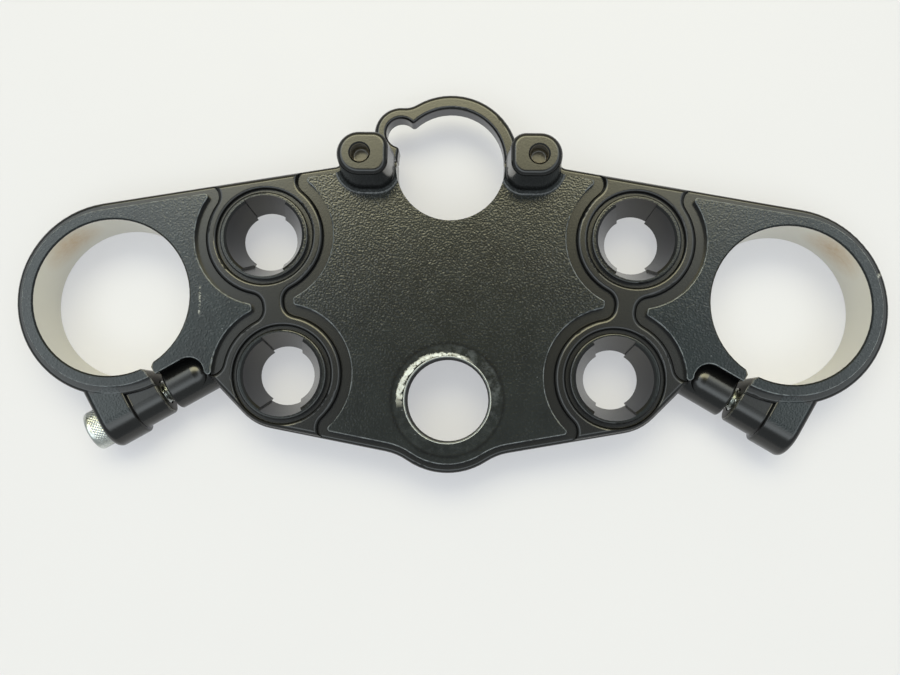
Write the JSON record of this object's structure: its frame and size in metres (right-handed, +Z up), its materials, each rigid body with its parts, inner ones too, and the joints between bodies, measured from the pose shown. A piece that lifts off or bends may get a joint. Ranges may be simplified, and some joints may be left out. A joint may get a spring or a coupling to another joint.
{
  "type": "motorcycle triple clamp",
  "caption": "Cast motorcycle top fork clamp: flat yoke with split collars for fork tubes, a steering stem bore, keyed conical damper seats and a lock opening between bolt bosses.",
  "frame": {"origin": "centre of the steering stem bore, at half its length", "axes": "+X to the right fork collar, +Y from the stem to the ignition lock, +Z up, along the stem bore, with the clamp lying on its top face so that its underside is up"},
  "size_m": [0.2764, 0.1221, 0.0395],
  "materials": {
    "satin_black_cast_aluminium": "satin black paint over an as-cast skin, bare where machined",
    "zinc_plated_steel": "bright zinc plate, knurled head"
  },
  "bodies": {
    "root": {"clamp_casting": "satin_black_cast_aluminium", "pinch_bolt_left": "zinc_plated_steel", "pinch_bolt_right": "zinc_plated_steel"}
  },
  "joints": []
}
